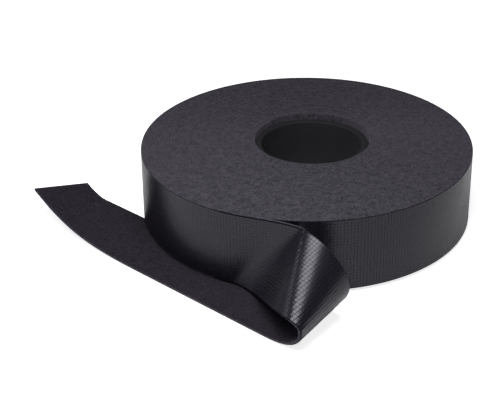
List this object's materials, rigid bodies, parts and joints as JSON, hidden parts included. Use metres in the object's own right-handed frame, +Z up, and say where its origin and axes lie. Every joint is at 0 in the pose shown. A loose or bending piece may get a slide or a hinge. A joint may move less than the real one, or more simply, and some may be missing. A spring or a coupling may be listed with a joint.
{
  "type": "hook and loop tape roll",
  "caption": "Roll of back-to-back hook and loop tape on a core tube, lying flat, with its loose end curled over and led back under the roll.",
  "frame": {"origin": "on the surface the roll lies on, under the middle of the whole object's outline; the roll's upright axis is at x 18.8 mm, y 17.7 mm, and its core's at x 20.3 mm, y 20.2 mm", "axes": "+Z up along the roll's axis; +X to the right and +Y to the back as the picture sees it, with the loose end at the front left"},
  "size_m": [0.1482, 0.1468, 0.0276],
  "materials": {
    "core": "dull dark tube",
    "hook_film": "satin moulded hooks in a fine grid",
    "loop_fabric": "brushed knit, matte"
  },
  "bodies": {
    "roll": {"core_tube": "core", "hook_film_winding": "hook_film", "loop_fabric_winding": "loop_fabric"},
    "curl": {"hook_film_curl": "hook_film", "loop_fabric_curl": "loop_fabric"},
    "free_end": {"hook_film_free_end": "hook_film", "loop_fabric_free_end": "loop_fabric"}
  },
  "joints": [
    {"name": "peel_swing", "type": "hinge", "parent": "roll", "child": "curl", "pos_m": [-0.0056, -0.03273, 0.0139], "axis": [0, 0, 1], "range_deg": [-8, 0]},
    {"name": "end_lift", "type": "hinge", "parent": "curl", "child": "free_end", "pos_m": [-0.04173, -0.00245, 0.0011], "axis": [-0.343, 0.9393, 0], "range_deg": [0, 70]}
  ]
}
